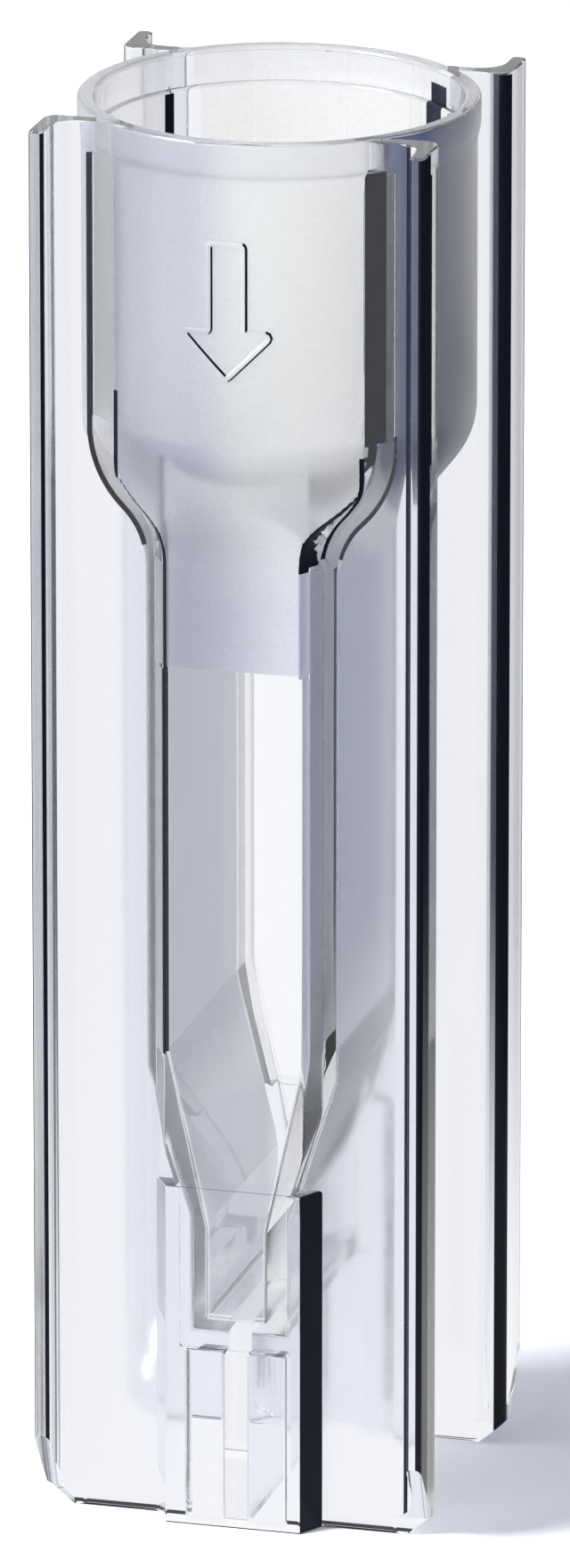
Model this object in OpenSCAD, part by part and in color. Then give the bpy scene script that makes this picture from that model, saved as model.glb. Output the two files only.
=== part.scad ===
// Micro cuvette for a standard 12.5 mm square holder, 10 mm light path.
// One clear moulded piece: a round filling cup runs down through a funnel into a
// flat measuring chamber, which narrows to a 2 mm slot near the base. Two thin
// plates with a fin at each corner carry it and keep fingers off the windows.
// Frame: origin at the middle of the base, +X across the windows, +Y along the
// light path, +Z up. All lengths are in millimetres.

/* [Footprint] */
// Outer width over the corner fins, the same both ways
body_w = 12.5; // [12.5:0.05:13]
// Overall height
body_h = 45; // [43:0.5:50]

/* [Plates and fins] */
// Thickness of the front and back plates
plate_t = 0.55; // [0.45:0.05:0.7]
// Distance from the axis to a plate's outer face
plate_y = 4.67; // [4.55:0.01:4.8]
// Thickness of a corner fin
fin_t = 0.48; // [0.4:0.02:0.6]
// Radius of the hollow between a fin and its plate
fin_root_r = 0.8; // [0.4:0.05:1.2]
// Rounding of the plates' outer upright corners
corner_r = 0.45; // [0.3:0.05:0.5]
// Width of the slanted cut at the foot of each plate
foot_cut_w = 0.9; // [0.4:0.1:1.4]
// Height of the slanted cut at the foot of each plate
foot_cut_h = 0.75; // [0.4:0.05:1.2]
// Height at which a fin's tip ends above the base
fin_tip_z = 2.75; // [1.5:0.25:4]
// Height at which a fin's root ends above the base
fin_root_z = 0.6; // [0.3:0.1:1.2]

/* [Cup] */
// Outer radius of the cup
cup_r = 6.11; // [6:0.01:6.15]
// Wall thickness of the cup
cup_wall = 0.6; // [0.5:0.05:0.6]
// Outer radius of the rim ring
rim_r = 6.22; // [6.16:0.01:6.25]
// Height of the rim ring
rim_h = 0.8; // [0.5:0.1:1.5]
// Height over which the rim ring blends into the cup
rim_blend_h = 0.6; // [0.3:0.1:1.2]
// Radius of the cap seat in the mouth
seat_r = 5.7; // [5.66:0.02:5.8]
// Depth of the cap seat
seat_depth = 1.1; // [0.6:0.1:2]
// Chamfer of the mouth's edges
mouth_chamfer = 0.14; // [0.05:0.01:0.2]
// Radius of the hollow where the cup meets a plate
cup_root_r = 0.2; // [0.1:0.05:0.3]

/* [Funnel] */
// Height of the middle of the rounding under the cup
funnel_top_z = 35.2; // [34.5:0.1:36]
// Radius of the rounding under the cup
funnel_round_r = 2.4; // [1.5:0.1:3]
// Lean of the funnel's cone from upright, in degrees
cone_lean = 38; // [34:1:42]
// Width of the funnel's sides where they leave the plates' backs
shoulder_w = 9.9; // [9.6:0.1:10]
// Height over which the sides swing out at the plates
shoulder_h = 4.3; // [3.6:0.1:4.6]
// Height of the raised front's swing from the chamber out to the cup
front_swing_h = 3.9; // [3.4:0.1:4.4]

/* [Chamber] */
// Light path, inside front to back
path_l = 10; // [9.8:0.05:10.1]
// Inner width of the chamber
chamber_w = 4.5; // [4:0.1:4.8]
// Side wall thickness of the chamber
side_wall = 0.8; // [0.6:0.05:0.9]
// Height at which the chamber starts to narrow
taper_top_z = 15.4; // [14.5:0.1:17]
// Thickness of the windows
window_t = 0.4; // [0.3:0.05:0.45]
// Step from the funnel's front down to the window
window_step = 0.12; // [0.05:0.01:0.2]
// Height of the window's upper edge
window_top_z = 27.9; // [25:0.1:30]
// Width of the raised front at its face
front_w = 4.34; // [4.2:0.02:4.5]
// Width of the raised front where it meets the plate
front_root_w = 5.34; // [5:0.02:5.6]

/* [Slot] */
// Inner width of the measuring slot
slot_w = 2; // [1.6:0.1:2.2]
// Height of the slot's floor
slot_floor_z = 6.7; // [6.4:0.1:7.5]
// Height at which the slot's sides become upright
slot_top_z = 9.7; // [8.8:0.1:10.5]
// Side wall thickness of the slot
slot_wall = 0.5; // [0.45:0.05:0.7]
// Thickness of the slot's floor
floor_t = 0.5; // [0.4:0.05:0.7]

/* [Foot block] */
// Height of the foot block
block_h = 11.1; // [10.4:0.1:12]
// Width of the recess in the foot block
recess_w = 3.44; // [3.3:0.02:3.7]
// Height of the recess's lower edge
recess_z = 5.87; // [5.5:0.01:6]
// Wall thickness of the hollow foot block
block_wall = 0.55; // [0.4:0.05:0.7]
// Width of the two hollows in the foot block, over both
hollow_w = 3.3; // [3:0.1:3.5]
// Height of the hollows in the foot block
hollow_h = 5.7; // [5:0.1:6]
// Thickness of the middle rib under the slot
rib_t = 0.74; // [0.5:0.02:1]

/* [Light path mark] */
// Length of the raised arrow on the cup
mark_l = 4.4; // [3:0.1:4.6]
// Width of the arrow's head
mark_w = 3; // [1.5:0.1:3.5]
// Width of the arrow's shaft
mark_shaft_w = 1.2; // [0.8:0.1:1.4]
// Width of the raised line that draws the arrow
mark_line = 0.2; // [0.15:0.05:0.3]
// Height of the arrow's lower tip
mark_z = 37.4; // [36.5:0.1:38]
// Height of the arrow's line above the cup's surface
mark_raise = 0.09; // [0.05:0.01:0.12]

/* [Hidden] */
$fn = 96;
// A length beyond the whole part, for cuts that run right through
reach = 60;
// Overlap of two cutters
tiny = 0.01;
// Cutters reach this far past the surface that they cut
clear = 0.05;
// Cutters reach this far outside the part
past = 1;
half_w = body_w / 2;
plate_in_y = plate_y - plate_t;
path_y = path_l / 2;
window_y = path_y + window_t;
front_y = window_y + window_step;
bore_r = cup_r - cup_wall;
neck_x = chamber_w / 2 + side_wall;
slot_out_x = slot_w / 2 + slot_wall;
floor_under_z = slot_floor_z - floor_t;
front_x = front_w / 2;
front_root_x = front_root_w / 2;
shoulder_z = funnel_top_z - shoulder_h;
// The shoulders end this far above the rounding of the cone
shoulder_over = 0.3;
shoulder_top_z = funnel_top_z + shoulder_over;
// Share of their height over which the shoulders are hollowed as a plain slope
shoulder_slope = 0.8;
swing_z = funnel_top_z - front_swing_h;
// Height at which the outer sides leave the slot and the chamber
slot_shoulder_z = slot_top_z + slot_wall / 2;
taper_shoulder_z = taper_top_z - side_wall;
// A joined piece reaches this far into the plate that carries it
bite = plate_t / 2;
// The cones end this far inside the chamber's sides
cone_sink = 0.25;
cone_foot_r = chamber_w / 2 - cone_sink;
// Lean of the raised front's side faces
side_lean = atan((front_root_x - front_x) / (front_y - plate_y));
// Step of the side faces at the window's upper edge
side_step = 0.03;
// Where the funnel's leaning side face passes the axis
side_reach = front_x * cos(side_lean) + front_y * sin(side_lean) + side_step;
// Share of a swing that is hollow, the rest of it being round
hollow_share = 0.42;
// Flats along each of its two arcs
swing_steps = 6;
// Flats along the rounding between the cone and the cup
cone_steps = 5;

clear_plastic = [0.86, 0.89, 0.95, 0.45];

// Turns a flat outline in X and Z into a solid between two depths
module across(y0, y1) {
    translate([0, y1, 0]) rotate([90, 0, 0]) linear_extrude(height = y1 - y0) children();
}

// Turns a flat outline in Y and Z into a solid between two widths
module along(x0, x1) {
    translate([x0, 0, 0]) rotate([90, 0, 90]) linear_extrude(height = x1 - x0) children();
}

// Repeats a front piece at the back
module front_and_back() {
    children();
    mirror([0, 1, 0]) children();
}

// Repeats an outline on the other side of the middle line
module both_sides() {
    children();
    mirror([1, 0]) children();
}

// Points of a side that leaves x0 at z0 and swings out by w over the height h,
// along a hollow arc and then a round one
function swing_points(x0, w, z0, h) =
    let (
        turn = 2 * atan(w / h),
        hollow_r = hollow_share * h / sin(turn),
        round_r = (1 - hollow_share) * h / sin(turn),
        step = turn / swing_steps
    )
    concat(
        [for (i = [0:swing_steps])
            [x0 + hollow_r * (1 - cos(i * step)), z0 + hollow_r * sin(i * step)]],
        [for (i = [swing_steps - 1:-1:0])
            [x0 + w - round_r * (1 - cos(i * step)), z0 + h - round_r * sin(i * step)]]
    );

// Adds the same points on the other side, so that the outline closes
function both_ways(points) =
    concat(points, [for (i = [len(points) - 1:-1:0]) [-points[i][0], points[i][1]]]);

// Corner between a round wall of radius r and the cone that leans in below it
function cone_corner(r, round_r) = [r, funnel_top_z - round_r * tan(cone_lean / 2)];
// The cone ends inside the chamber, at this radius
function cone_foot(r, round_r) =
    [cone_foot_r, cone_corner(r, round_r)[1] - (r - cone_foot_r) / tan(cone_lean)];

// Rounds that corner, in small flats that run from the cone up to the wall
function cone_round(r, round_r) =
    [for (i = [0:cone_steps])
        let (a = cone_lean * (1 - i / cone_steps))
        [r - round_r + round_r * cos(a), funnel_top_z - round_r * sin(a)]];

// Plan of one plate with its two corner fins
module plate_plan() {
    pocket_x = half_w - fin_t;
    difference() {
        translate([-half_w, -half_w]) square([body_w, half_w - plate_in_y]);
        difference() {
            translate([-pocket_x, -half_w - past])
                square([2 * pocket_x, half_w + past - plate_y]);
            both_sides() translate([pocket_x - fin_root_r, -plate_y - fin_root_r]) difference() {
                square(fin_root_r + tiny);
                circle(r = fin_root_r);
            }
        }
        both_sides() translate([half_w - corner_r, -plate_in_y - corner_r]) difference() {
            square(corner_r + tiny);
            circle(r = corner_r);
        }
    }
}

// One plate with its fins, cut at the foot
module plate() {
    difference() {
        linear_extrude(height = body_h) plate_plan();
        across(-half_w - past, 0) both_sides() polygon([
            [half_w - foot_cut_w, 0], [half_w + past, foot_cut_h * (1 + past / foot_cut_w)],
            [half_w + past, -past], [half_w - foot_cut_w, -past]
        ]);
        along(-half_w - past, half_w + past) polygon([
            [-half_w - past, fin_tip_z + past * (fin_tip_z - fin_root_z) / (half_w - plate_y)],
            [-plate_y, fin_root_z], [-plate_y, -past], [-half_w - past, -past]
        ]);
    }
}

// Sides of the funnel where it meets the plates, and of the chamber and the slot
module core_outline() {
    swing_w = shoulder_w / 2 - neck_x;
    polygon(both_ways(concat(
        [[slot_out_x, floor_under_z], [slot_out_x, slot_shoulder_z], [neck_x, taper_shoulder_z]],
        swing_points(neck_x, swing_w, shoulder_z, shoulder_h),
        [[shoulder_w / 2, shoulder_top_z]]
    )));
}

// Chamber, slot and the funnel's shoulders between the two plates
module core() {
    core_y = plate_in_y + bite / 2;
    across(-core_y, core_y) core_outline();
}

// Fills the corners between the cup and the backs of the plates
module cup_roots() {
    root_y = plate_in_y - cup_root_r;
    root_x = sqrt((cup_r + cup_root_r) ^ 2 - root_y ^ 2);
    touch = [root_x, root_y] * cup_r / (cup_r + cup_root_r);
    translate([0, 0, funnel_top_z]) linear_extrude(height = body_h - funnel_top_z)
        both_sides() for (flip = [0, 1]) mirror([0, flip]) polygon([
            touch, [root_x, plate_in_y], [root_x, plate_in_y + bite],
            [touch[0] - bite, plate_in_y + bite], [touch[0] - bite, touch[1]]
        ]);
}

// Round outside of the cup and its cone between the plates
module turned_cup() {
    intersection() {
        rotate_extrude() polygon(concat(
            [[0, cone_foot(cup_r, funnel_round_r)[1]], cone_foot(cup_r, funnel_round_r)],
            cone_round(cup_r, funnel_round_r),
            [[cup_r, body_h], [0, body_h]]
        ));
        translate([-half_w, -plate_y + bite, 0]) cube([body_w, 2 * (plate_y - bite), body_h]);
    }
}

// Ring that stiffens the mouth
module rim_ring() {
    rise = rim_r - cup_r;
    rotate_extrude() polygon([
        [0, body_h - rim_h - 2 * rim_blend_h], [cup_r - rise, body_h - rim_h - 2 * rim_blend_h],
        [rim_r, body_h - rim_h], [rim_r, body_h - mouth_chamfer],
        [rim_r - mouth_chamfer, body_h], [0, body_h]
    ]);
}

// Keeps what lies inside one leaning side face of the raised front
module side_face_limit() {
    swing_w = cup_r * cos(asin(plate_y / cup_r) - side_lean) + bite - side_reach;
    rotate([0, 0, -side_lean]) across(-reach, reach) polygon(concat(
        [[-reach, 0], [side_reach, 0]],
        swing_points(side_reach, swing_w, swing_z, front_swing_h),
        [[side_reach + swing_w, body_h + past], [-reach, body_h + past]]
    ));
}

// Front of cup and funnel, which stands out of the plate
module raised_funnel() {
    swing_w = cup_r + bite - front_y;
    intersection() {
        translate([0, 0, window_top_z]) cylinder(r = cup_r, h = body_h - window_top_z);
        along(-cup_r - past, cup_r + past) mirror([1, 0]) polygon(concat(
            [[plate_y - bite, 0], [front_y, 0]],
            swing_points(front_y, swing_w, swing_z, front_swing_h),
            [[front_y + swing_w, body_h + past], [plate_y - bite, body_h + past]]
        ));
        side_face_limit();
        mirror([1, 0, 0]) side_face_limit();
    }
}

// Plan of the raised front between the plate and a face at depth y
module raised_plan(y) {
    face_x = front_x + (front_y - y) * tan(side_lean);
    polygon([
        [-front_root_x, -plate_y + bite], [-front_root_x, -plate_y], [-face_x, -y],
        [face_x, -y], [front_root_x, -plate_y], [front_root_x, -plate_y + bite]
    ]);
}

// Raised window, which narrows with the chamber below
module raised_window() {
    intersection() {
        translate([0, 0, floor_under_z]) linear_extrude(height = window_top_z - floor_under_z)
            raised_plan(window_y);
        across(-reach, 0) polygon(both_ways([
            [slot_out_x, 0], [slot_out_x, slot_shoulder_z], [neck_x, taper_shoulder_z],
            [neck_x, reach]
        ]));
    }
}

// Foot block with its recess
module foot_block() {
    difference() {
        linear_extrude(height = block_h) raised_plan(front_y);
        translate([-recess_w / 2, -window_y - past, recess_z]) cube([recess_w, past, block_h]);
    }
}

// Hollows that open the foot from below, one on each side of the middle rib
module foot_hollows() {
    hollow_y = front_y - block_wall;
    for (side = [-1, 1]) {
        inner_x = side * rib_t / 2;
        outer_x = side * hollow_w / 2;
        translate([min(inner_x, outer_x), -hollow_y, -past])
            cube([hollow_w / 2 - rib_t / 2, 2 * hollow_y, hollow_h + past]);
    }
}

// Middle rib that carries the slot's floor
module middle_rib() {
    translate([-rib_t / 2, -plate_y, 0]) cube([rib_t, 2 * plate_y, floor_under_z + floor_t / 2]);
}

// Round bore of the cup, its cone and the cap seat
module cup_bore() {
    inner_round_r = funnel_round_r - cup_wall;
    rotate_extrude() polygon(concat(
        [[0, cone_foot(bore_r, inner_round_r)[1]], cone_foot(bore_r, inner_round_r)],
        cone_round(bore_r, inner_round_r),
        [
            [bore_r, body_h - seat_depth], [seat_r, body_h - seat_depth],
            [seat_r, body_h - mouth_chamfer], [seat_r + 2 * mouth_chamfer, body_h + mouth_chamfer],
            [0, body_h + mouth_chamfer]
        ]
    ));
}

// Flat chamber and slot
module chamber() {
    across(-path_y, path_y) polygon(both_ways([
        [slot_w / 2, slot_floor_z], [slot_w / 2, slot_top_z], [chamber_w / 2, taper_top_z],
        [chamber_w / 2, funnel_top_z + past]
    ]));
}

// Part of the funnel's cavity that follows the outer shoulders at the plates
module shoulder_cavity() {
    top_x = shoulder_w / 2 - side_wall;
    side_y = sqrt(bore_r ^ 2 - top_x ^ 2) - clear;
    across(-side_y, side_y) polygon(both_ways([
        [chamber_w / 2 - clear, shoulder_z], [top_x, shoulder_z + shoulder_slope * shoulder_h],
        [top_x, shoulder_top_z]
    ]));
}

// Plain raised arrow that shows where the light passes
module path_mark() {
    intersection() {
        cylinder(r = cup_r + mark_raise, h = body_h);
        across(-cup_r - past, -cup_r / 2) difference() {
            arrow_outline(0);
            arrow_outline(mark_line);
        }
    }
}

// Arrow pointing down, drawn smaller by a margin all round
module arrow_outline(margin) {
    head_l = mark_w / 2;
    tip = mark_z + margin * sqrt(2);
    barb = mark_z + head_l - margin;
    shaft_x = mark_shaft_w / 2 - margin;
    top = mark_z + mark_l - margin;
    polygon([
        [0, tip], [barb - tip, barb], [shaft_x, barb], [shaft_x, top],
        [-shaft_x, top], [-shaft_x, barb], [tip - barb, barb]
    ]);
}

module cuvette_body() {
    color(clear_plastic) difference() {
        union() {
            core();
            turned_cup();
            cup_roots();
            rim_ring();
            middle_rib();
            front_and_back() {
                plate();
                raised_funnel();
                raised_window();
                foot_block();
            }
            path_mark();
        }
        cup_bore();
        chamber();
        shoulder_cavity();
        foot_hollows();
    }
}

cuvette_body();
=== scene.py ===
# %% [markdown]
# # A clear micro cuvette
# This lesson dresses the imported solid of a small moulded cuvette: a round filling
# cup, a funnel, a flat measuring chamber that narrows to a slot, and two finned
# plates that carry it. The real one is moulded in one shot from clear plastic, so
# it is one closed mesh here too. Clear plastic has almost no colour of its own. The
# eye reads how its edges bend the light, so they need real roundings in the mesh,
# and the faces need the right polish.

import cmath
import functools
from math import acos, asin, atan, atan2, cos, degrees, hypot, pi, radians, sin, sqrt, tan

import bmesh
import bpy
from mathutils import Matrix, Vector


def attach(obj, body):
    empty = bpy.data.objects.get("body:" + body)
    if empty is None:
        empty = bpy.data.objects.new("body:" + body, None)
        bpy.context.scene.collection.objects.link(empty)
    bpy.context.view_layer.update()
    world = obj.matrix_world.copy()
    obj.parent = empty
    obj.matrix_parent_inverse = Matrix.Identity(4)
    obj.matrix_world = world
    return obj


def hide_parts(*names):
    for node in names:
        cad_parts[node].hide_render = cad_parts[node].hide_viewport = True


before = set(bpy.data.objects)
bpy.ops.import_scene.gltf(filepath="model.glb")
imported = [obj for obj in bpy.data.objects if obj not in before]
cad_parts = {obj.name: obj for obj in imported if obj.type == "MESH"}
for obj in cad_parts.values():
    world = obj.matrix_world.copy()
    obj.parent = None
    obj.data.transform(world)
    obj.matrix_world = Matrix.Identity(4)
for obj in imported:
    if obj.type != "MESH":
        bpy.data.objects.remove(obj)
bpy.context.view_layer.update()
MM = 0.001
print("solid's faces:", len(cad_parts["cuvette_body"].data.polygons))

# %% [markdown]
# ## Sizes
# These are the moulding's sizes in millimetres. The front of the cuvette faces -Y,
# the light path runs along Y, and Z points up from the base. Right is +X. Naming them
# once keeps every piece in step.

# %% Sizes of the moulding
HEIGHT, HALF = 45.0, 6.25
# The plates' faces, the depth inside them where joined pieces end, and the fins.
PLATE_IN, PLATE_MID, PLATE_OUT = 4.12, 4.4, 4.67
FIN, FIN_SIDE, FIN_TIP, FIN_ROOT, CORNER = 0.48, 5.4, 0.17, 0.8, 0.45
# Radii of the cup and its mouth, then the cap's seat and the rim.
CUP_R, BORE_R, RIM_R, SEAT_R = 6.11, 5.51, 6.22, 5.7
SEAT_Z, RIM_Z, RIM_BLEND = 43.9, 44.2, 0.6
# The funnel: where the cup starts to close, its rounding, its cone and its shoulders.
FUNNEL_Z, ROUND_R, LEAN, CONE_END = 35.2, 2.4, radians(38), 2.0
NECK_X, SHOULDER_X, SHOULDER_H = 2.98, 4.8, 4.3
# The raised fronts: their swing, their faces, and the window's top edge.
SWING_Z, SWING_H, HOLLOW = 31.3, 3.9, 0.42
FACE_X, ROOT_X, FACE_Y, WINDOW_Y, WINDOW_Z = 2.17, 2.67, 5.52, 5.4, 27.9
# The chamber, its taper and the slot. The walls bend a little off the inner bends.
CHAMBER_X, CHAMBER_Y, TAPER_Z = 2.25, 5.0, 15.4
SLOT_X, SLOT_OUT, SLOT_Z, SLOT_TOP, SLOT_UNDER = 1.0, 1.5, 6.7, 9.7, 6.2
OUTER_BEND_Z, OUTER_SLOT_Z = TAPER_Z - 0.8, SLOT_TOP + 0.25
# The foot block, its recess, the rib, and the hollows beside the rib.
BLOCK_Z, RECESS_X, RECESS_Z = 11.1, 1.72, 5.87
RIB_X, RIB_Z, HOLLOW_X, HOLLOW_Y, HOLLOW_Z = 0.37, 6.45, 1.65, 4.97, 5.7
SIDE_LEAN = atan((ROOT_X - FACE_X) / (FACE_Y - PLATE_OUT))
SIDE_REACH = FACE_X * cos(SIDE_LEAN) + FACE_Y * sin(SIDE_LEAN)
print("raised front's sides lean", round(degrees(SIDE_LEAN), 1), "degrees")

# %% [markdown]
# ## Node helpers
# A material is a graph of nodes. Each of these helpers adds one node and joins it
# up, so the finishes below can be read like sentences: at this place, this share of
# that tone. The Shader Editor does it by hand, but helpers keep every finish short.

# %% Helpers that add one node
def plug(tree, made, inputs):
    """Sets a node's inputs to values, to outputs, or to the first outputs of other nodes."""
    for key, value in inputs.items():
        if isinstance(value, bpy.types.Node):
            value = value.outputs[0]
        if isinstance(value, bpy.types.NodeSocket):
            tree.links.new(value, made.inputs[key])
        else:
            made.inputs[key].default_value = value
    return made


def node(tree, kind, *by_place, **by_name):
    """A new node, its inputs given in their order or by their names."""
    family = tree.bl_idname.removesuffix("Tree")
    return plug(tree, tree.nodes.new(family + kind), dict(enumerate(by_place)) | by_name)


def math_node(tree, operation, first, second=0.0):
    """One sum on numbers."""
    made = node(tree, "Math", first, second)
    made.operation = operation
    return made


def vector_node(tree, operation, *vectors):
    """One sum on vectors."""
    made = node(tree, "VectorMath", *vectors)
    made.operation = operation
    return made


print("helpers that add a node: 4")

# %% Helpers for shares and tones
def share(tree, value, start, end, low=0.0, high=1.0, blend="LINEAR"):
    """Goes from low to high while the value goes from start to end."""
    made = node(tree, "MapRange", value, start, end, low, high)
    made.interpolation_type = blend
    return made


def zone(tree, value, start, end):
    """0 at the start and 1 at the end, both in mm."""
    return share(tree, value, start * MM, end * MM)


def mixed(tree, amount, first, second):
    """The first colour, with the given share of the second."""
    made = node(tree, "Mix")
    made.data_type = "RGBA"
    # Inputs 6 and 7 are the node's two colours.
    return plug(tree, made, {0: amount, 6: first, 7: second}).outputs[2]


def tones(tree, value, stops):
    """Colours that change softly between stops of (place in mm, colour)."""
    first, last = stops[0][0], stops[-1][0]
    made = node(tree, "ValToRGB", zone(tree, value, first, last))
    band = made.color_ramp
    band.interpolation = "EASE"
    for place, colour in stops[1:-1]:
        band.elements.new((place - first) / (last - first)).color = (*colour, 1)
    band.elements[0].color = (*stops[0][1], 1)
    band.elements[-1].color = (*stops[-1][1], 1)
    return made


print("helpers for shares and tones: 4")

# %% [markdown]
# ## Clear plastic
# The real plastic is a hard, clear one that bends light a little more than water
# does. Principled BSDF makes it with Transmission Weight and IOR. Its base colour
# tints the light at each face that it passes, so a value near white is enough for
# the cool cast. A Glass BSDF would do for the clear faces, but not for the satin ones.
# Moulded plastic keeps a faint waviness from cooling, and a weak bump gives that
# without any more faces.

# %% Clear plastic
IOR = 1.49
SHADER = "Principled BSDF"


def wavy(tree, shader):
    """The faint waviness of plastic that shrank while it cooled."""
    place = node(tree, "TexCoord").outputs["Object"]
    swell = node(tree, "TexNoise", Vector=place, Scale=500.0, Detail=1.0)
    relief = node(tree, "Bump", Height=swell, Strength=0.04, Distance=0.05 * MM)
    plug(tree, shader, {"Normal": relief})


def plastic(name, colour, roughness, clear):
    """Moulded plastic. The share that isn't clear scatters light at the surface."""
    made = bpy.data.materials.new(name)
    made.use_nodes = True
    shader = made.node_tree.nodes[SHADER]
    settings = {
        "Base Color": (*colour, 1), "IOR": IOR, "Transmission Weight": clear, "Roughness": roughness,
    }
    plug(made.node_tree, shader, settings)
    wavy(made.node_tree, shader)
    return made


print("plastic bends light with an IOR of", IOR)

# %% [markdown]
# ## Satin plastic
# The tool that moulds a cuvette is polished where light has to pass cleanly: the
# windows and the plates. The cup, the funnel and the chamber's side walls come off
# a fine satin surface, which scatters light and looks pale grey. It is the same
# plastic, rougher, with a fine grain. Its tone is painted shade and light: darker on
# the left of the front, deep blue on the right side, white at the back and on the
# shoulders. It could be painted by hand, but ramps over the object's own
# coordinates are exact.

# %% Painted shade and light of the satin faces
WHITE = (1, 1, 1, 1)
# Painted shade and light: deep blue shade on the cup's right side, dim blue shade on the neck's left,
# pale blue light on its right.
SHADE_DEEP_BLUE, SHADE_DIM_BLUE, LIT_PALE_BLUE = (0.045, 0.062, 0.16), (0.2, 0.218, 0.33), (0.83, 0.86, 1.0)


def lilac(tone):
    """A grey with the plastic's cool cast."""
    return tuple(min(1, tone * cast) for cast in (0.96, 0.985, 1.18))


# Painted shade across the cup, left to right: pale by the left root, dark left of the front, light to
# the right, deep shade on the right side.
CUP_SHADE_STOPS = [
    (-6, lilac(0.95)), (-4.3, lilac(0.9)), (-3.9, lilac(0.53)), (-1.5, lilac(0.66)),
    (0.8, lilac(1.02)), (3.9, lilac(1.04)), (4.4, SHADE_DEEP_BLUE), (6.1, SHADE_DEEP_BLUE),
]
# Painted shade across the neck: dark on the left, paler to the right.
NECK_SHADE_STOPS = [(-3, SHADE_DIM_BLUE), (-2.2, lilac(0.57)), (2.2, lilac(0.8)), (3, LIT_PALE_BLUE)]
print("tones across the cup and the neck:", len(CUP_SHADE_STOPS), "and", len(NECK_SHADE_STOPS))

# %% Where the painted shade and light lie
FOOT_TOP, FOOT_FULL = 19, 11


def cup_shade_and_light(tree, x, y):
    """Painted shade and light round the cup: dark on its right side, white at the back."""
    return mixed(tree, zone(tree, y, -3, 2), tones(tree, x, CUP_SHADE_STOPS), WHITE)


def neck_shade_and_light(tree, x, y):
    """Painted shade and light across the neck and the chamber's walls: dark on the left, paler on
    the right. The left wall's ends and all of the back are painted white."""
    beside_plates = zone(tree, math_node(tree, "ABSOLUTE", y), 3.8, 4.0)
    left_ends = math_node(tree, "MULTIPLY", beside_plates, zone(tree, x, -2.1, -2.3))
    across = mixed(tree, left_ends, tones(tree, x, NECK_SHADE_STOPS), WHITE)
    return mixed(tree, zone(tree, y, 3.9, 4.3), across, WHITE)


def shoulder_light_share(tree, x, y, z):
    """1 on the shoulders under the cup, between the plates, where painted light turns the tone white."""
    limits = [
        math_node(tree, "LESS_THAN", math_node(tree, "ABSOLUTE", y), 4.2 * MM),
        zone(tree, math_node(tree, "ABSOLUTE", x), 3.15, 3.3),
        zone(tree, x, 4.3, 4.1),
        zone(tree, z, FUNNEL_Z, FUNNEL_Z - 0.6),
    ]
    return functools.reduce(lambda made, limit: math_node(tree, "MULTIPLY", made, limit), limits)


def foot_share(tree, x, z):
    """0 on the cup and the chamber, 1 at the foot. It starts lower on the left."""
    lowered = math_node(tree, "ADD", z, share(tree, x, 1 * MM, -1 * MM, 0.0, 8 * MM))
    return zone(tree, lowered, FOOT_TOP, FOOT_FULL)


print("the foot's finish starts under", FOOT_TOP, "mm")

# %% Satin plastic with painted shade and light
SATIN_ROUGH, FOOT_ROUGH = 0.55, 0.12
GRAIN_LOW, GRAIN_HIGH = 0.9, 1.0


def satin_with_painted_shade():
    """The satin finish with painted shade and light in its tone, which turns pale and smooth at the
    foot.
    """
    made = plastic("plastic_satin_painted_shade", (0.9, 0.9, 0.95), SATIN_ROUGH, 0.92)
    tree = made.node_tree
    place = node(tree, "TexCoord").outputs["Object"]
    x, y, z = node(tree, "SeparateXYZ", place).outputs
    shoulder, foot = shoulder_light_share(tree, x, y, z), foot_share(tree, x, z)
    # The tone carries painted shade and light: the cup's and the neck's ramps and the white shoulders.
    # At the foot it turns white with the smoother finish.
    cup = mixed(tree, shoulder, cup_shade_and_light(tree, x, y), WHITE)
    neck = mixed(tree, shoulder, neck_shade_and_light(tree, x, y), WHITE)
    tone = mixed(tree, foot, mixed(tree, zone(tree, z, 30, 34), neck, cup), WHITE)
    noise = node(tree, "TexNoise", Vector=place, Scale=9000.0, Detail=2.0)
    grain = share(tree, noise, 0.3, 0.7, GRAIN_LOW, GRAIN_HIGH)
    roughness = share(tree, foot, 0.0, 1.0, SATIN_ROUGH, FOOT_ROUGH)
    grained = vector_node(tree, "MULTIPLY", tone, grain)
    plug(tree, tree.nodes[SHADER], {"Base Color": grained, "Roughness": roughness})
    return made


satin = satin_with_painted_shade()
print("satin plastic's nodes:", len(satin.node_tree.nodes))

# %% [markdown]
# ## The finishes of one moulding
# Besides satin there are four more: the polished faces, the windows that the light
# beam passes, which are the clearest of all, the plates' inner faces, which blur a
# little, and painted shade on the edges. Light that enters a real narrow edge bounces
# on inside and leaves somewhere else, so the edge looks nearly black. Tracing that
# takes very many bounces. Painted shade, black plastic on exactly those faces, gives
# the same line in every view.

# %% Finishes
POLISHED, SATIN, SHADED, WINDOW, WEB = 0, 1, 2, 3, 4
POLISH_TINT = (0.885, 0.898, 0.945)
finishes = [
    plastic("plastic_polished", POLISH_TINT, 0.0, 0.985),
    satin,
    # Painted shade: nearly black plastic for the edges where light is caught.
    plastic("plastic_shaded", (0.009, 0.011, 0.02), 0.15, 0.0),
    plastic("plastic_window", (0.985, 0.99, 1.0), 0.0, 1.0),
    plastic("plastic_web", POLISH_TINT, 0.15, 1.0),
]
# The painted shade on the edges hardly mirrors the white room.
finishes[SHADED].node_tree.nodes[SHADER].inputs["Specular IOR Level"].default_value = 0.1
print("finishes:", [each.name for each in finishes])

# %% [markdown]
# ## Outlines and prisms
# Most of the moulding is a flat outline pulled straight out of the tool. A curve with
# a bevel could be extruded. Here a complex number holds each point of an outline,
# because turning and scaling are then one multiplication. Every moulded corner has a
# small radius, and these roundings are what catches the light.

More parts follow.
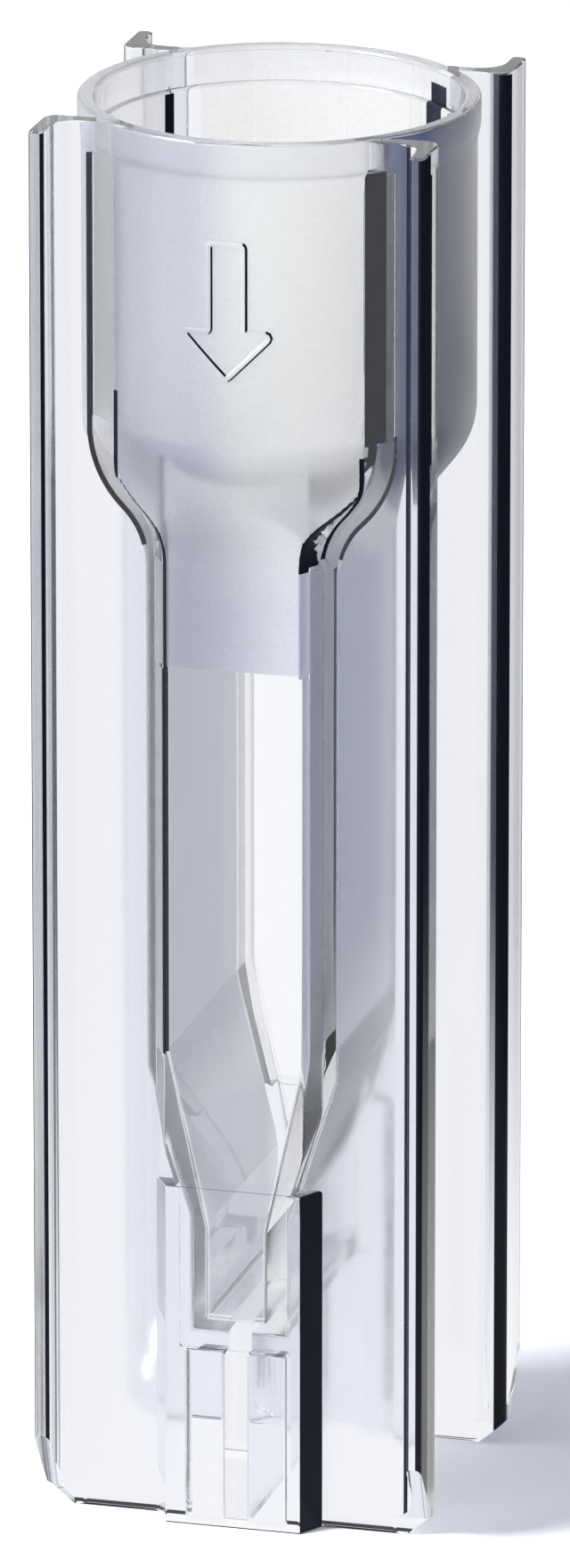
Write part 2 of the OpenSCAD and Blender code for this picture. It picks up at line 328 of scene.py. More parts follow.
# %% Rounded outlines
def soft(corners, steps=5):
    """Closed outline through (x, y, radius) corners, each one rounded."""
    points = [complex(x, y) for x, y, _ in corners]
    made = []
    for i, p in enumerate(points):
        radius = corners[i][2]
        if radius == 0:
            made.append(p)
            continue
        a, b = points[i - 1] - p, points[(i + 1) % len(points)] - p
        a, b = a / abs(a), b / abs(b)
        half = acos(max(-1, min(1, (a * b.conjugate()).real))) / 2
        centre = p + (a + b) / abs(a + b) * radius / sin(half)
        start = p + a * radius / tan(half) - centre
        end = p + b * radius / tan(half) - centre
        turn = cmath.phase(end / start)
        made += [centre + start * cmath.exp(1j * turn * k / steps) for k in range(steps + 1)]
    return made


square = soft([(0, 0, 0.1), (1, 0, 0.1), (1, 1, 0.1), (0, 1, 0.1)])
print("a softened square has", len(square), "points")

# %% More outlines
def both_sides(half, steps=5):
    """The outline through one half's corners and the same ones mirrored to the left."""
    return soft(half + [(-x, y, r) for x, y, r in half[::-1]], steps)


def anticlockwise(outline):
    """The outline, turned round if it runs clockwise."""
    area = sum((a.conjugate() * b).imag for a, b in zip(outline, outline[1:] + outline[:1]))
    return outline if area > 0 else outline[::-1]


def grown(outline, by):
    """The outline moved outwards all round."""
    made = []
    for i, p in enumerate(outline):
        a, b = p - outline[i - 1], outline[(i + 1) % len(outline)] - p
        na, nb = a / abs(a) * -1j, b / abs(b) * -1j
        m = (na + nb) / abs(na + nb)
        made.append(p + m * by / max(0.3, (m * na.conjugate()).real))
    return made


print("the grown square has", len(grown(anticlockwise(square), 0.5)), "points too")

# %% [markdown]
# ## Closed meshes
# A piece is a closed skin through rows of points. A rule can name each face's finish
# while the skin is made. It could also be painted in Edit Mode face by face, but a
# rule follows the sizes when they change.

# %% Closed meshes
def placed(name, data):
    """A new object in the scene."""
    made = bpy.data.objects.new(name, data)
    bpy.context.scene.collection.objects.link(made)
    return made


def written(bm, mesh):
    """Turns the faces outwards, fills the mesh with them and gives it the finishes."""
    bmesh.ops.recalc_face_normals(bm, faces=bm.faces)
    mesh.materials.clear()
    for each in finishes:
        mesh.materials.append(each)
    bm.to_mesh(mesh)
    bm.free()
    return mesh


def closed_rows(name, rows, finish=POLISHED, caps=POLISHED):
    """A closed skin through rows of equally many points, with both ends capped. The finish is
    one number, or a rule for a face's middle in mm and its normal."""
    bm = bmesh.new()
    verts = [[bm.verts.new(Vector(p) * MM) for p in row] for row in rows]
    count = len(rows[0])
    for low, high in zip(verts, verts[1:]):
        for i in range(count):
            j = (i + 1) % count
            face = bm.faces.new((low[i], low[j], high[j], high[i]))
            face.normal_update()
            middle = face.calc_center_median() / MM
            face.material_index = finish(middle, face.normal) if callable(finish) else finish
    for row in (verts[0][::-1], verts[-1]):
        bm.faces.new(row).material_index = caps
    return placed(name, written(bm, bpy.data.meshes.new(name)))


print("a closed skin takes", len(finishes), "finishes")

# %% Prisms
# Where a point of an outline goes when the outline lies flat, faces the front or faces the side.
def pulled_up(p, w):
    return p.real, p.imag, w


def pulled_across(p, w):
    return p.real, w, p.imag


def pulled_along(p, w):
    return w, p.real, p.imag


def end_rows(level, side, radius, bury, steps=4):
    """One end of a prism, as (level, growth) rows."""
    rows = [(level + side * bury, -radius)] if radius < 0 else []
    for k in range(steps + 1 if radius else 1):
        turn = pi / 2 * k / steps
        rows.append((level - side * abs(radius) * (1 - cos(turn)), -radius * (1 - sin(turn))))
    return rows


def prism(name, outline, low, high, place, ends=(0, 0), bury=0.0, **finish):
    """Outline pulled from low to high. A positive end radius rounds that end's edge,
    a negative one flares it into the wall it meets, and bury carries it on inside."""
    outline = anticlockwise(outline)
    rows = end_rows(low, -1, ends[0], bury) + end_rows(high, 1, ends[1], bury)[::-1]
    return closed_rows(name, [[place(p, w) for p in grown(outline, by)] for w, by in rows], **finish)


print("a rounded end takes", len(end_rows(0.0, 1, 0.1, 0.0)), "rows")

# %% Turned pieces
TURNED_STEPS = 192


def arc(centre, radius, start, end, steps):
    """Points of an arc, its angles in degrees."""
    angles = [radians(start + (end - start) * k / steps) for k in range(steps + 1)]
    return [(centre[0] + radius * cos(a), centre[1] + radius * sin(a)) for a in angles]


def ring(bm, r, z):
    """One turned point of the profile. On the axis it stays a single one."""
    if r == 0:
        return [bm.verts.new((0, 0, z * MM))]
    angles = [2 * pi * (i + 0.5) / TURNED_STEPS for i in range(TURNED_STEPS)]
    return [bm.verts.new(Vector((r * cos(a), r * sin(a), z)) * MM) for a in angles]


def turned(name, profile, finish_at):
    """A profile of (radius, height) points turned round the Z axis, from axis to axis. The finish
    follows from the radius, the height and the angle off the front."""
    bm = bmesh.new()
    rings = [ring(bm, r, z) for r, z in profile]
    for low, high, p, q in zip(rings, rings[1:], profile, profile[1:]):
        for i in range(TURNED_STEPS):
            j = (i + 1) % TURNED_STEPS
            if len(low) == 1:
                face = bm.faces.new((low[0], high[i], high[j]))
            elif len(high) == 1:
                face = bm.faces.new((low[i], low[j], high[0]))
            else:
                face = bm.faces.new((low[i], low[j], high[j], high[i]))
            middle = face.calc_center_median()
            off_front = degrees(atan2(middle.x, -middle.y))
            face.material_index = finish_at((p[0] + q[0]) / 2, (p[1] + q[1]) / 2, off_front)
    return placed(name, written(bm, bpy.data.meshes.new(name)))


print("turned faces are", 360 / TURNED_STEPS, "degrees wide")

# %% [markdown]
# ## How the sides swing
# The funnel's sides don't lean straight in. They swing in through a hollow arc and
# then a round one. A Bezier curve could draw that, but one function gives both arcs
# exactly, for the raised front, the core and the cavity inside.

# %% Swing
def swing(rise, width, height):
    """How far a side has swung out at a rise above its start."""
    if rise <= 0:
        return 0.0
    if rise >= height:
        return width
    turn = 2 * atan(width / height)
    hollow_r = HOLLOW * height / sin(turn)
    round_r = (1 - HOLLOW) * height / sin(turn)
    if rise <= HOLLOW * height:
        return hollow_r - sqrt(hollow_r**2 - rise**2)
    return width - round_r + sqrt(round_r**2 - (height - rise) ** 2)


print("half way up, a side has swung out", round(swing(SWING_H / 2, 1.0, SWING_H), 2), "of its width")

# %% [markdown]
# ## Joining and carving
# Boolean modifiers join pieces and carve holes. The Manifold solver keeps the result
# closed and carries each face's finish along. The modifier is applied at once, so
# the finished piece is plain mesh. The back of the cuvette is its front turned half
# round, so pieces are copied that way.

# %% Joining and carving
def plain_mesh(obj):
    """The object's mesh with its modifiers worked in."""
    bpy.context.view_layer.update()
    return bpy.data.meshes.new_from_object(obj.evaluated_get(bpy.context.evaluated_depsgraph_get()))


def combine(body, tool, how):
    """Joins or cuts two closed meshes. The tool is used up."""
    change = body.modifiers.new("combine", "BOOLEAN")
    change.operation = how
    change.solver = "MANIFOLD"
    change.object = tool
    result = plain_mesh(body)
    if not result.polygons:
        raise RuntimeError(f"{body.name} {how} {tool.name} came out empty")
    body.modifiers.remove(change)
    body.data = result
    bpy.data.objects.remove(tool)
    return body


def join(body, tool):
    return combine(body, tool, "UNION")


def carve(body, tool):
    return combine(body, tool, "DIFFERENCE")


def copy_to_back(obj):
    """The same piece turned half round the Z axis."""
    other = placed(obj.name, obj.data.copy())
    other.data.transform(Matrix.Rotation(pi, 4, "Z"))
    return other


def painted(obj, rule):
    """Sets each face's finish where the rule gives one."""
    for face in obj.data.polygons:
        given = rule(face.center / MM, face.normal)
        if given is not None:
            face.material_index = given
    return obj


def under_edge(p, normal, low):
    """True on the rounding of a bottom edge, where painted shade draws a dark line."""
    return p.z < low and -0.97 < normal.z < -0.05


print("solver that joins and carves: MANIFOLD")

# %% [markdown]
# ## Plates with corner fins
# Each plate is one outline: a thin web with a fin at each end that stands forwards.
# The fins' feet are cut on a slope and the plate's lower corners are cut off, which
# helps the cuvette into its holder. Loose fins could be joined on, but one outline
# rounds their roots too.

# %% Plate
TOP_GAP = 0.03
CUT_X, CUT_RUN, CUT_RISE, CUT_SINK = 5.35, 2.0, 1.667, 0.02
FIN_FOOT_LOW, FIN_FOOT_HIGH = 0.6, 4.11
UNDER, PAST = -1.0, 8.0


def slope(x0, z0, x1, z1):
    """The outline of everything under a slope."""
    return [complex(x0, z0), complex(x1, z1), complex(x1, UNDER), complex(x0, UNDER)]


def plate():
    """One plate with its fins, its cut corners, and the fins' sloped feet."""
    half = [
        (HALF - FIN, -PLATE_OUT, FIN_ROOT), (HALF - FIN, -HALF, FIN_TIP), (HALF, -HALF, FIN_TIP),
        (HALF, -FIN_SIDE, 0), (HALF, -PLATE_IN, CORNER),
    ]
    made = prism("plate", both_sides(half, 7), 0.0, HEIGHT - TOP_GAP, pulled_up, ends=(0.1, 0.07))
    for side in (-1, 1):
        cut = slope(side * CUT_X, -CUT_SINK, side * (CUT_X + CUT_RUN), CUT_RISE - CUT_SINK)
        carve(made, prism("corner_cut", cut, -PAST, 0, pulled_across))
    feet = slope(-HALF - 1, FIN_FOOT_HIGH, -PLATE_OUT, FIN_FOOT_LOW)
    return carve(made, prism("fin_foot_cut", feet, -PAST, PAST, pulled_along))


body = plate()
join(body, copy_to_back(body))
print("plates:", len(body.data.polygons), "faces")

# %% Finish of the plates
NEARLY = 0.01
TIP = 0.16
LINES_LOW, LINES_HIGH = 0.4, HEIGHT - 0.35


def left_tip(p):
    """The left front fin's tip: painted shade along both edges, satin between them."""
    outer, inner = p.x < -HALF + 0.06, HALF - FIN < -p.x < HALF - FIN + 0.1
    return SHADED if outer or inner else SATIN


def on_right_line(p, normal):
    """True on the right fins' lines of painted shade: the front tip's edges, the outer side behind
    it, a stripe up the root, and the back plate's round corner."""
    front = -p.y
    on_tip = front > HALF - TIP and (p.x > HALF - TIP or p.x < HALF - FIN + 0.1)
    on_side = front > FIN_SIDE and p.x > HALF - NEARLY
    round_root = degrees(atan2(p.y + PLATE_OUT + FIN_ROOT, p.x - (HALF - FIN - FIN_ROOT)))
    on_root = PLATE_OUT < front < HALF and p.x < HALF - FIN and 50 < round_root < 66
    on_corner = PLATE_IN - NEARLY < p.y < PLATE_IN + CORNER and p.x > HALF - CORNER
    return on_tip or on_side or on_root or (on_corner and 0.15 < abs(normal.x) < 0.98)


def plate_finish(p, normal):
    """The plates' inner faces blur a little, and narrow edges carry painted shade."""
    if abs(abs(p.y) - PLATE_IN) < NEARLY and abs(normal.y) > 0.99:
        return WEB
    if p.y < 0 and under_edge(p, normal, 0.1):
        return SHADED
    if not LINES_LOW < p.z < LINES_HIGH:
        return None
    if p.x < 0 and -p.y > HALF - TIP:
        return left_tip(p)
    return SHADED if p.x >= HALF - 1.4 and on_right_line(p, normal) else None


painted(body, plate_finish)
print("dark faces on the plates:", sum(f.material_index == SHADED for f in body.data.polygons))

# %% [markdown]
# ## Cup with its cone
# The cup is turned: wall, rounding, and a cone that leans in under it. Its front and
# back pass through the plates, so this turned piece only fills the room between them.
# A Screw modifier could turn the profile too, but a short loop also sets the finish.

# %% Cup
def cone_profile(radius, round_r):
    """From the cone's foot up to the upright wall."""
    bend = arc((radius - round_r, FUNNEL_Z), round_r, -degrees(LEAN), 0, 14)
    reach, rise = bend[0]
    foot_z = rise - (reach - CONE_END) / tan(LEAN)
    return [(0, foot_z), (CONE_END, foot_z)] + bend


def cup_finish(r, z, off_front):
    """Satin, but for the cone's end, which is buried."""
    return SATIN if r > CONE_END + 0.2 else POLISHED


profile = cone_profile(CUP_R, ROUND_R) + [(CUP_R, HEIGHT - 0.5), (0, HEIGHT - 0.5)]
cup = turned("cup", profile, cup_finish)
room = both_sides([(9, -PLATE_MID, 0), (9, PLATE_MID, 0)])
combine(cup, prism("between_plates", room, 0, 60, pulled_up), "INTERSECT")
join(body, cup)
print("the cone ends at", round(profile[0][1], 2), "mm")

# %% [markdown]
# ## Rim
# The rim is a low ring with a soft step under it and a rounded lip. A Bevel can't
# make it, because the ring is wider than the cup, so it has its own profile.

# %% Rim
LIP = 0.13
rim_out = RIM_R - CUP_R
under_rim = RIM_Z - 1.5 * RIM_BLEND


def rim_step(t):
    """The soft step under the rim, as t goes from 0 to 1."""
    return CUP_R + rim_out * (0.5 - 0.5 * cos(pi * t)), RIM_Z - RIM_BLEND * (1 - t)


def rim_finish(r, z, off_front):
    """Satin round the outside, polished on top."""
    return SATIN if r > 5.9 and z < HEIGHT - 0.06 else POLISHED


profile = [(0, under_rim), (CUP_R - rim_out, under_rim), (CUP_R - 0.01, RIM_Z - RIM_BLEND)]
profile += [rim_step(k / 5) for k in range(1, 6)]
profile += arc((RIM_R - LIP, HEIGHT - LIP), LIP, 0, 90, 6) + [(0, HEIGHT)]
join(body, turned("rim", profile, rim_finish))
print("the rim stands out by", round(rim_out, 2), "mm")

# %% [markdown]
# ## Cup roots
# Where the round cup leaves the back of a plate there would be a sharp notch. Four
# fillets fill it. A Bevel modifier slips on such long thin edges, so each one is a
# small prism. Two of them carry painted shade as dark lines.

# %% Cup roots
ROOT_R, ROOT_LOW, ROOT_HIGH = 0.2, 34.9, RIM_Z - 0.3


def root_finish(p, normal):
    """Painted shade on the fillet's outer half."""
    return SHADED if abs(p.x) > 4.76 else POLISHED


def cup_root(finish):
    """Fillet that fills the corner between the cup and the back of a plate."""
    y = PLATE_IN - ROOT_R
    x = sqrt((CUP_R + ROOT_R) ** 2 - y**2)
    touch = degrees(atan2(-y, -x))
    bend = [complex(*p) for p in arc((x, y), ROOT_R, 360 + touch, 90, 8)]
    buried = [
        complex(bend[-1].real, PLATE_MID), complex(bend[0].real - 0.4, PLATE_MID),
        bend[0] * (1 - 0.25 / CUP_R),
    ]
    return prism("cup_root", bend + buried, ROOT_LOW, ROOT_HIGH, pulled_up, finish=finish)


for quarter in range(4):
    root = cup_root(POLISHED if quarter % 2 else root_finish)
    if quarter % 2:
        root.data.transform(Matrix.Scale(-1, 4, (1, 0, 0)))
        root.data.flip_normals()
    if quarter > 1:
        root.data.transform(Matrix.Rotation(pi, 4, "Z"))
    join(body, root)
print("with the cup:", len(body.data.polygons), "faces")

# %% [markdown]
# ## Chamber, slot and shoulders
# Between the plates the funnel's sides, the chamber and the slot are one outline,
# pulled through from plate to plate and flared where it meets them. Separate blocks
# could do, but one outline leaves no seam.

# %% Core between the plates
FLARE = 0.14


def core_side(z):
    """Half width of the core at a height."""
    if z < OUTER_SLOT_Z:
        return SLOT_OUT
    if z < OUTER_BEND_Z:
        return SLOT_OUT + (NECK_X - SLOT_OUT) * (z - OUTER_SLOT_Z) / (OUTER_BEND_Z - OUTER_SLOT_Z)
    return NECK_X + swing(z - (FUNNEL_Z - SHOULDER_H), SHOULDER_X - NECK_X, SHOULDER_H)


def core_finish(p, normal):
    """Satin, with painted shade as dark lines where the shoulders flare into the plates."""
    return SHADED if p.z > 31.5 and abs(p.y) > PLATE_IN - FLARE else SATIN


heights = [SLOT_UNDER, OUTER_SLOT_Z, OUTER_BEND_Z]
heights += [FUNNEL_Z - SHOULDER_H * (1 - k / 28) for k in range(29)] + [FUNNEL_Z + 0.3]
outline = both_sides([(core_side(z), z, 0) for z in heights])
flared = {"ends": (-FLARE, -FLARE), "bury": 0.2, "finish": core_finish}
join(body, prism("core", outline, -PLATE_IN, PLATE_IN, pulled_across, **flared))
print("with the core:", len(body.data.polygons), "faces")

# %% [markdown]
# ## Raised front
# In front of each plate stands a raised part: the cup's front, which swings in to a
# flat face and then steps down to the window. Its plan at any height is a blend of
# four limits, the round cup, the flat face, a leaning side face and the taper. It
# could be sculpted, but a power mean of the four gives one smooth curve with rounded
# corners.

# %% Limits of the raised front
SWELL = 0.275
CRISP = 170


def front_at(z):
    """How far forward the flat face stands at a height."""
    if z < WINDOW_Z:
        return WINDOW_Y
    return FACE_Y + swing(z - SWING_Z, CUP_R + SWELL - FACE_Y, SWING_H)


def side_at(z):
    """How far the leaning side face stands off the axis at a height."""
    full = CUP_R * cos(asin(PLATE_OUT / CUP_R) - SIDE_LEAN) + SWELL - SIDE_REACH
    return SIDE_REACH + swing(z - SWING_Z, full, SWING_H)


def side_reach(angle, z):
    """Distance from the axis to the leaning side face, in a direction off the front."""
    return side_at(z) / cos(pi / 2 - SIDE_LEAN - angle)


def plan_reach(angle, z):
    """Distance from the axis to the raised surface, in a direction off the front."""
    limits = [CUP_R, front_at(z) / cos(angle), side_reach(angle, z)]
    if z < TAPER_Z and angle > 0.01:
        limits.append(core_side(z) / sin(angle))
    least = min(limits)
    return least * sum((limit / least) ** -CRISP for limit in limits) ** (-1 / CRISP)


print("above the window the face is", round(plan_reach(0, WINDOW_Z + 1), 2), "mm off the axis")

# %% Edges of the raised front
SWEEP = [radians(60) * k / 1200 for k in range(1201)]
SWEEP_START = 20


@functools.lru_cache(None)
def corner_at(z):
    """Where the front turns into its leaning side: half width and distance from the axis."""
    for angle in SWEEP[SWEEP_START:]:
        side = side_reach(angle, z)
        front = min(CUP_R, front_at(z) / cos(angle))
        reach = min(side, front)
        if side < front or reach * cos(angle) < PLATE_OUT + 0.03:
            return reach * sin(angle), reach * cos(angle)


@functools.lru_cache(None)
def root_at(z):
    """Half width where the leaning side meets the plate."""
    for angle in SWEEP[SWEEP_START:]:
        reach = plan_reach(angle, z)
        if reach * cos(angle) < PLATE_OUT:
            return reach * sin(angle)


print("there it is", round(2 * corner_at(30)[0], 2), "mm wide")

# %% Plan of the raised front
ROOT_FLARE = 0.05
PLAN_POINTS = 150


def traced(z):
    """One half of the plan at a height, from the middle to inside the plate."""
    points = []
    for angle in SWEEP:
        reach = plan_reach(angle, z)
        x, y = reach * sin(angle), reach * cos(angle)
        if y < PLATE_MID:
            break
        rise = max(0.0, y - PLATE_OUT)
        if rise < ROOT_FLARE:
            x += ROOT_FLARE - sqrt(ROOT_FLARE**2 - (ROOT_FLARE - rise) ** 2)
        points.append(complex(x, -y))
    return points


def crowding(points, corner):
    """A sum that grows along the points, fastest at turns, near the corner and at the root."""
    total = [0.0]
    for k in range(1, len(points)):
        step = points[k] - points[k - 1]
        last = points[k - 1] - points[k - 2] if k > 1 else step
        near = 4 if abs(points[k] - corner) < 0.3 or points[k].imag > -PLATE_OUT - 0.3 else 0.4
        total.append(total[-1] + abs(step) * near + abs(cmath.phase(step * last.conjugate())))
    return total


def plan_half(z):
    """The same half with fewer points, which crowd where the curve turns."""
    fine = traced(z)
    total = crowding(fine, complex(*corner_at(z)).conjugate())
    made, k = [], 0
    for i in range(PLAN_POINTS):
        goal = total[-1] * i / (PLAN_POINTS - 1)
        while k < len(total) - 2 and total[k + 1] < goal:
            k += 1
        t = (goal - total[k]) / max(1e-9, total[k + 1] - total[k])
        made.append(fine[k] + (fine[k + 1] - fine[k]) * min(1, t))
    return made


print("one half of a plan:", len(traced(30)), "points traced,", len(plan_half(30)), "kept")

# %% Raised fronts
JUST_OUT = PLATE_OUT + 0.02


def on_raised_line(p):
    """True on the lines of painted shade: the left corner, the right side's root under the cup, and
    its corner where it starts to swing out."""
    if not TAPER_Z < p.z < 37:
        return False
    level = round(p.z, 3)
    corner_x, corner_y = corner_at(level)
    off_corner = hypot(abs(p.x) - corner_x, -p.y - corner_y)
    off_root = hypot(p.x - root_at(level), -p.y - PLATE_OUT)
    on_left = p.x < 0 and off_corner < 0.085
    on_root = p.x > 0 and 31.6 < p.z < 34.9 and off_root < 0.13
    at_swing = 31.25 + 0.3 * off_corner < p.z < 34 - 3.2 * off_corner
    return on_left or on_root or (at_swing and p.x > corner_x - 0.05 and -p.y > JUST_OUT)


def raised_finish(p, normal):
    """Satin above the window, polished on the leaning sides, and painted shade along the edges."""
    across = abs(normal.x) / max(1e-6, abs(normal.y))
    outside = -p.y > JUST_OUT
    if on_raised_line(p):
        return SHADED
    if p.z < TAPER_Z + 0.3 and p.x > corner_at(round(p.z, 3))[0] + 0.03 and outside:
        return SATIN
    if -p.y > WINDOW_Y - 0.3 and WINDOW_Z < p.z < WINDOW_Z + 0.1:
        return WINDOW
    if outside and p.z < WINDOW_Z and across < 0.9:
        return WINDOW if p.z > TAPER_Z - 4 else POLISHED
    if not outside or p.z < TAPER_Z or (across > 0.9 and p.z > SWING_Z):
        return POLISHED
    return SATIN


front_heights = [5.0, 8.0, 9.6, 9.9, 10.0] + [10.0 + 0.35 * k for k in range(1, 14)]
front_heights += [TAPER_Z, 18, 22, 26, WINDOW_Z - 0.12, WINDOW_Z - 0.001]
front_heights += [WINDOW_Z + 0.03, WINDOW_Z + 0.12, 30.0, 31.0]
front_heights += [SWING_Z + SWING_H * k / 26 for k in range(27)] + [36.5, 39, 42, 43.3, 44.4]


def plan_row(z):
    """The whole plan at a height, from left to right."""
    half = plan_half(z)
    return [pulled_up(p, z) for p in [-p.conjugate() for p in half[:0:-1]] + half]


front_piece = closed_rows("raised_front", [plan_row(z) for z in front_heights], raised_finish)
join(body, copy_to_back(front_piece))
join(body, front_piece)
print("with the raised fronts:", len(body.data.polygons), "faces")

# %% [markdown]
# ## Foot block
# Under the slot a hollow block reaches down to the base on both sides, with a recess
# in its face. It could be part of the raised front, but a prism of its own takes
# another finish: painted shade on its right side.

# %% Foot blocks
BLOCK_BACK = 0.012


def block_finish(p, normal):
    """Painted shade on the right leaning side."""
    return SHADED if FACE_X < p.x < ROOT_X and -p.y > PLATE_OUT else POLISHED


def foot_block():
    """The front block with its recess."""
    root_y = -PLATE_OUT + BLOCK_BACK
    half = [(3.1, -PLATE_MID, 0), (3.1, root_y, 0), (ROOT_X, root_y, 0.12), (FACE_X, -FACE_Y, 0.07)]
    rounded = {"ends": (0.05, 0.09), "finish": block_finish}
    made = prism("foot_block", both_sides(half), 0.0, BLOCK_Z, pulled_up, **rounded)
    recess = both_sides([(RECESS_X, RECESS_Z, 0.1), (RECESS_X, 13, 0)])
    return carve(made, prism("recess", recess, -7, -WINDOW_Y - 0.008, pulled_across))


# Painted shade along the block's bottom edge. Its copy at the back is polished all over.
block = painted(foot_block(), lambda p, normal: SHADED if under_edge(p, normal, 0.06) else None)
join(body, painted(copy_to_back(block), lambda p, normal: POLISHED))
join(body, block)
print("with the foot blocks:", len(body.data.polygons), "faces")

# %% Rib and hollows
middle_rib = both_sides([(RIB_X, 0.01, 0), (RIB_X, RIB_Z, 0)])
join(body, prism("rib", middle_rib, -4.5, 4.5, pulled_across))
for side in (-1, 1):
    hollow = soft([
        (side * RIB_X, -5.1, 0), (side * HOLLOW_X, -5.1, 0),
        (side * HOLLOW_X, HOLLOW_Z, 0.1), (side * RIB_X, HOLLOW_Z, 0.1),
    ])
    carve(body, prism("foot_hollow", hollow, -HOLLOW_Y, HOLLOW_Y, pulled_across, ends=(0.1, 0.1)))
print("with the foot:", len(body.data.polygons), "faces")

# %% [markdown]
# ## Inside
# The bore of the cup, the chamber and the slot are cut last, so that they pass
# cleanly through every piece that was joined before. The bore has a ledge near its
# top, on which a cap seats. In the real tool one steel core shapes all of it. Here
# three pieces carve it, because each has its own kind of outline.

# %% Cup's bore
# Where the lines of painted shade stand, in degrees round from a plate's middle.
BORE_SHADE_LINES = {"front right": (45, 53), "back right": (41, 50), "back left": (52, 54.5)}
LEDGE_ROUND, MOUTH_ROUND = 0.1, 0.14


def bore_finish(r, z, off_front):
    """The bore is clear. Painted shade draws dark lines at the corners where the cup leaves a plate."""
    off_plate = 90 - abs(90 - abs(off_front))
    corner = ("front" if abs(off_front) < 90 else "back") + (" right" if off_front > 0 else " left")
    if z < FUNNEL_Z:
        return SHADED if corner == "front right" and 45 < off_plate < 49 and r > 4.1 else SATIN
    start, end = BORE_SHADE_LINES.get(corner, (0, 0))
    top = SEAT_Z + 0.6 if corner == "back right" else SEAT_Z - 0.1
    if start < off_plate < end and r > 5.4 and z < top:
        return SHADED
    return POLISHED if z > SEAT_Z - 0.3 else WINDOW


profile = cone_profile(BORE_R, ROUND_R - CUP_R + BORE_R) + [(BORE_R, SEAT_Z - LEDGE_ROUND)]
profile += arc((BORE_R + LEDGE_ROUND, SEAT_Z - LEDGE_ROUND), LEDGE_ROUND, 180, 90, 3)[1:]
profile += [(SEAT_R, SEAT_Z), (SEAT_R, SEAT_Z + 0.6), (SEAT_R, HEIGHT - 0.12)]
profile += arc((SEAT_R + MOUTH_ROUND, HEIGHT - MOUTH_ROUND), MOUTH_ROUND, 180, 100, 5)
profile += [(SEAT_R + 0.2, HEIGHT + 0.2), (0, HEIGHT + 0.2)]
carve(body, turned("cup_bore", profile, bore_finish))
print("cup's wall:", round(CUP_R - BORE_R, 2), "mm")

# %% Chamber
END_ROUND = 0.12


def chamber_finish(p, normal):
    """Painted shade on the roundings of two corners: left in front and right behind."""
    corner = p.x * p.y > 0 and abs(p.y) > CHAMBER_Y - END_ROUND
    return SHADED if corner and p.z > TAPER_Z - 0.4 else POLISHED


half = [(SLOT_X, SLOT_Z, 0.12), (SLOT_X, SLOT_TOP, 0.1), (CHAMBER_X, TAPER_Z, 0.1)]
outline = both_sides(half + [(CHAMBER_X, 29.8, 0), (CHAMBER_X, 36.2, 0)])
clear_ends = {"ends": (END_ROUND, END_ROUND), "finish": chamber_finish, "caps": WINDOW}
carve(body, prism("chamber", outline, -CHAMBER_Y, CHAMBER_Y, pulled_across, **clear_ends))
print("chamber's width and depth:", 2 * CHAMBER_X, "by", 2 * CHAMBER_Y, "mm")

# %% Funnel's cavity
CAVITY_Z, CAVITY_OUT, CAVITY_SIDE = 31.0, 1.95, 4.15
side_y = sqrt(BORE_R**2 - CAVITY_SIDE**2) - 0.05
heights = [CAVITY_Z - 0.3] + [CAVITY_Z + SWING_H * k / 20 for k in range(21)] + [35.6]
sides = [CHAMBER_X - 0.05 + swing(z - CAVITY_Z, CAVITY_OUT, SWING_H) for z in heights]
cavity = both_sides([(x, z, 0) for x, z in zip(sides, heights)])
carve(body, prism("shoulder_cavity", cavity, -side_y, side_y, pulled_across, ends=(0.2, 0.2)))
print("hollowed:", len(body.data.polygons), "faces")

# %% [markdown]
# ## Light path mark
# A thin raised line on the cup's front draws a plain arrow, which shows the side
# that faces the light. Geometry Nodes sweep a small round section along its path. A
# curve with a bevel could too, but here width and finish are the tree's named inputs.

# %% Tree that sweeps a line
def ridge_tree():
    """Sweeps a round ridge along a path of edges."""
    tree = bpy.data.node_groups.new("raised_line", "GeometryNodeTree")
    for title, kind in (("Path", "Geometry"), ("Ridge radius", "Float"), ("Finish", "Material")):
        tree.interface.new_socket(title, in_out="INPUT", socket_type="NodeSocket" + kind)
    tree.interface.new_socket("Ridge", in_out="OUTPUT", socket_type="NodeSocketGeometry")
    given = tree.nodes.new("NodeGroupInput").outputs
    path = node(tree, "MeshToCurve", given["Path"])
    section = node(tree, "CurvePrimitiveCircle", Resolution=12, Radius=given["Ridge radius"])
    real = node(tree, "RealizeInstances", node(tree, "CurveToMesh", path, section))
    paint = node(tree, "SetMaterial", real, Material=given["Finish"])
    plug(tree, tree.nodes.new("NodeGroupOutput"), {"Ridge": paint})
    return tree


line_tree = ridge_tree()
print("nodes that sweep a line:", len(line_tree.nodes))

# %% Path of the mark
POINT_GAP, MARK_SINK = 0.12, 0.03


def mark_outline():
    """The arrow laid out flat, with a point about every POINT_GAP."""
    flat = soft([
        (0, 37.5, 0.12), (1.5, 39.0, 0.12), (0.55, 39.0, 0.1), (0.55, 41.8, 0.12),
        (-0.55, 41.8, 0.12), (-0.55, 39.0, 0.1), (-1.5, 39.0, 0.12),
    ], 3)
    dense = []
    for p, q in zip(flat, flat[1:] + flat[:1]):
        pieces = max(1, round(abs(q - p) / POINT_GAP))
        dense += [p + (q - p) * k / pieces for k in range(pieces)]
    return dense


def mark_path():
    """The arrow as a path of edges round the cup's front."""
    radius = CUP_R - MARK_SINK
    points = []
    for p in mark_outline():
        around = p.real / CUP_R
        points.append(Vector((radius * sin(around), -radius * cos(around), p.imag)) * MM)
    mesh = bpy.data.meshes.new("mark_path")
    mesh.from_pydata(points, [(i, (i + 1) % len(points)) for i in range(len(points))], [])
    return placed("mark", mesh)


mark = mark_path()
print("points along the mark:", len(mark.data.vertices))

# %% Sweep and join the mark
RIDGE_R = 0.12 * MM


